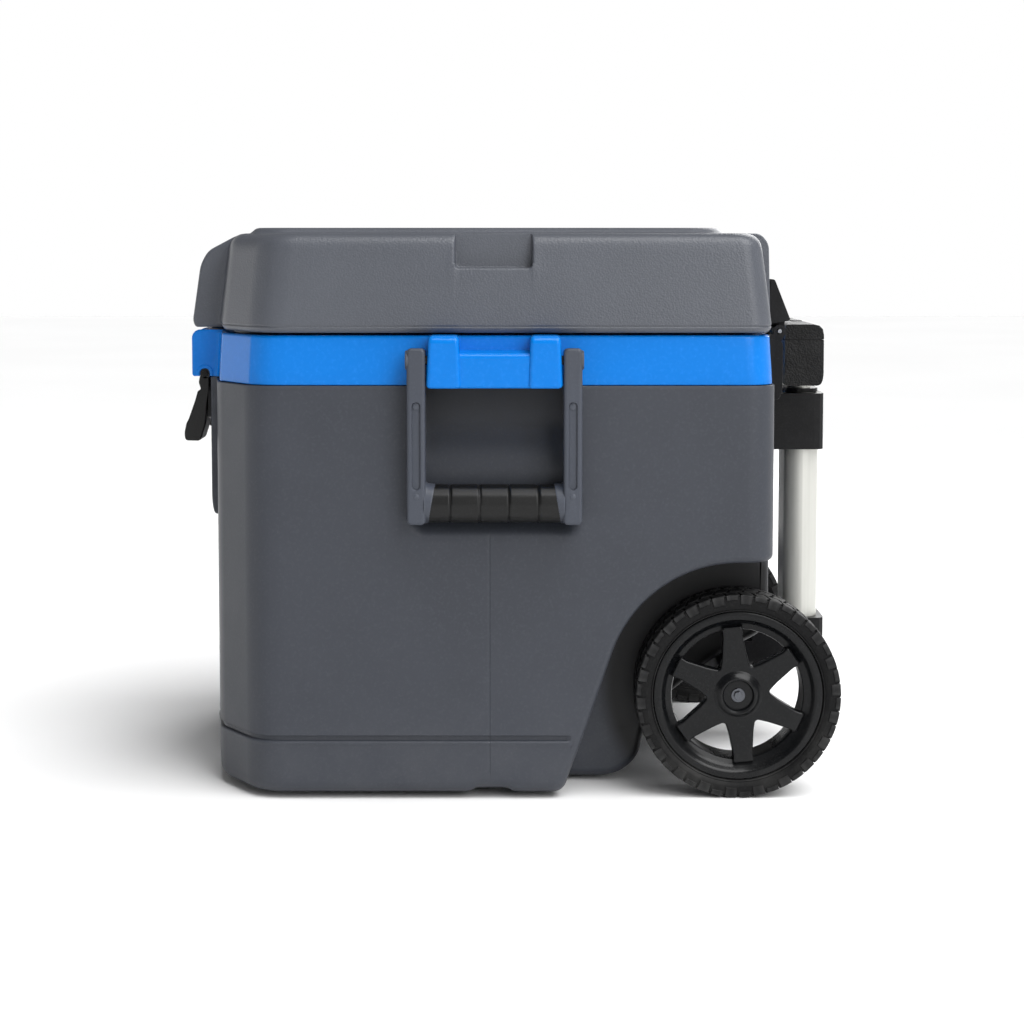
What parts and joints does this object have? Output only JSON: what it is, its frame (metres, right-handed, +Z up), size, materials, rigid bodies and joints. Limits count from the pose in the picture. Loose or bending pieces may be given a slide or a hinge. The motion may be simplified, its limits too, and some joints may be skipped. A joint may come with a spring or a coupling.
{
  "type": "wheeled cooler",
  "caption": "Hard-sided cooler on wheels: grey insulated tub, bright collar, hinged lid, rubber latches, side bail handles and a telescoping pull handle.",
  "frame": {"origin": "on the ground, under the middle of the overall box", "axes": "+Z up; +X to the right across the width; latches face -Y; hinges, pull handle and wheels are at +Y"},
  "size_m": [0.5112, 0.6125, 0.5085],
  "materials": {
    "tub": "grained",
    "lid": "grained",
    "collar": "gloss",
    "bail": "satin",
    "black_plastic": "satin",
    "grip_plastic": "stippled",
    "rubber": "matte",
    "tyre": "matte",
    "rim": "satin",
    "liner": "satin",
    "foam": "matte",
    "steel": "brushed",
    "mast": "satin"
  },
  "bodies": {
    "case": {"body_shell": "tub", "body_foam": "foam", "body_liner": "liner", "collar": "collar", "hinge_body_leaf_left": "black_plastic", "hinge_body_leaf_right": "black_plastic", "hinge_pin_left": "steel", "hinge_pin_right": "steel", "hinge_screw_low_left": "steel", "hinge_screw_low_right": "steel", "hinge_screw_high_left": "steel", "hinge_screw_high_right": "steel", "latch_pin_left": "steel", "latch_pin_right": "steel", "latch_base_left": "black_plastic", "latch_base_right": "black_plastic", "bail_pin_front_left": "black_plastic", "bail_pin_front_right": "black_plastic", "bail_pin_rear_left": "black_plastic", "bail_pin_rear_right": "black_plastic", "bracket_screw_upper_left": "steel", "bracket_screw_upper_right": "steel", "bracket_screw_lower_left": "steel", "bracket_screw_lower_right": "steel", "axle": "steel", "axle_carrier": "black_plastic", "mast_upper_bracket": "black_plastic", "mast_outer": "mast", "drain_spout": "liner", "hub_bolt_left": "steel", "hub_bolt_right": "steel"},
    "lid": {"lid_shell": "lid", "lid_foam": "foam", "lid_liner": "liner", "lid_gasket": "rubber", "hinge_lid_leaf_left": "black_plastic", "hinge_lid_leaf_right": "black_plastic", "hinge_screw_lid_left": "steel", "hinge_screw_lid_right": "steel"},
    "latch_left": {"latch_left": "rubber"},
    "latch_right": {"latch_right": "rubber"},
    "bail_left": {"bail_frame_left": "bail", "bail_grip_left": "rubber"},
    "bail_right": {"bail_frame_right": "bail", "bail_grip_right": "rubber"},
    "wheel_left": {"wheel_rim_left": "rim", "tyre_left": "tyre", "wheel_bush_left": "liner"},
    "wheel_right": {"wheel_rim_right": "rim", "tyre_right": "tyre", "wheel_bush_right": "liner"},
    "mast_middle": {"mast_middle": "mast", "mast_middle_ring": "black_plastic"},
    "mast_grip": {"mast_inner": "mast", "grip_body": "grip_plastic", "grip_cap": "grip_plastic"},
    "release_button": {"release_button": "black_plastic", "release_rod": "steel"},
    "drain_cap": {"drain_cap": "black_plastic", "drain_gasket": "rubber"}
  },
  "joints": [
    {"name": "lid_hinge", "type": "hinge", "parent": "case", "child": "lid", "pos_m": [0, 0.2464, 0.4148], "axis": [1, 0, 0], "range_deg": [-95, 0]},
    {"name": "latch_left_turn", "type": "hinge", "parent": "case", "child": "latch_left", "pos_m": [-0.0805, -0.285, 0.3725], "axis": [-1, 0, 0], "range_deg": [0, 144]},
    {"name": "latch_right_turn", "type": "hinge", "parent": "case", "child": "latch_right", "pos_m": [0.0805, -0.285, 0.3725], "axis": [-1, 0, 0], "range_deg": [0, 144]},
    {"name": "bail_left_swing", "type": "hinge", "parent": "case", "child": "bail_left", "pos_m": [-0.247, -0.0122, 0.3932], "axis": [0, 1, 0], "range_deg": [0, 105]},
    {"name": "bail_right_swing", "type": "hinge", "parent": "case", "child": "bail_right", "pos_m": [0.247, -0.0122, 0.3932], "axis": [0, -1, 0], "range_deg": [0, 105]},
    {"name": "wheel_left_spin", "type": "hinge", "parent": "case", "child": "wheel_left", "pos_m": [-0.2, 0.205, 0.092], "axis": [1, 0, 0], "continuous": true},
    {"name": "wheel_right_spin", "type": "hinge", "parent": "case", "child": "wheel_right", "pos_m": [0.2, 0.205, 0.092], "axis": [1, 0, 0], "continuous": true},
    {"name": "mast_middle_slide", "type": "slide", "parent": "case", "child": "mast_middle", "axis": [0, 0, 1], "range_m": [0, 0.19]},
    {"name": "mast_grip_slide", "type": "slide", "parent": "mast_middle", "child": "mast_grip", "axis": [0, 0, 1], "range_m": [0, 0.2]},
    {"name": "release_press", "type": "slide", "parent": "mast_grip", "child": "release_button", "axis": [0, 0, -1], "range_m": [0, 0.004], "stiffness_N_per_m": 300, "springref_m": -0.003},
    {"name": "drain_cap_turn", "type": "hinge", "parent": "case", "child": "drain_cap", "pos_m": [0, -0.268, 0.056], "axis": [0, -1, 0], "range_deg": [0, 360]}
  ]
}
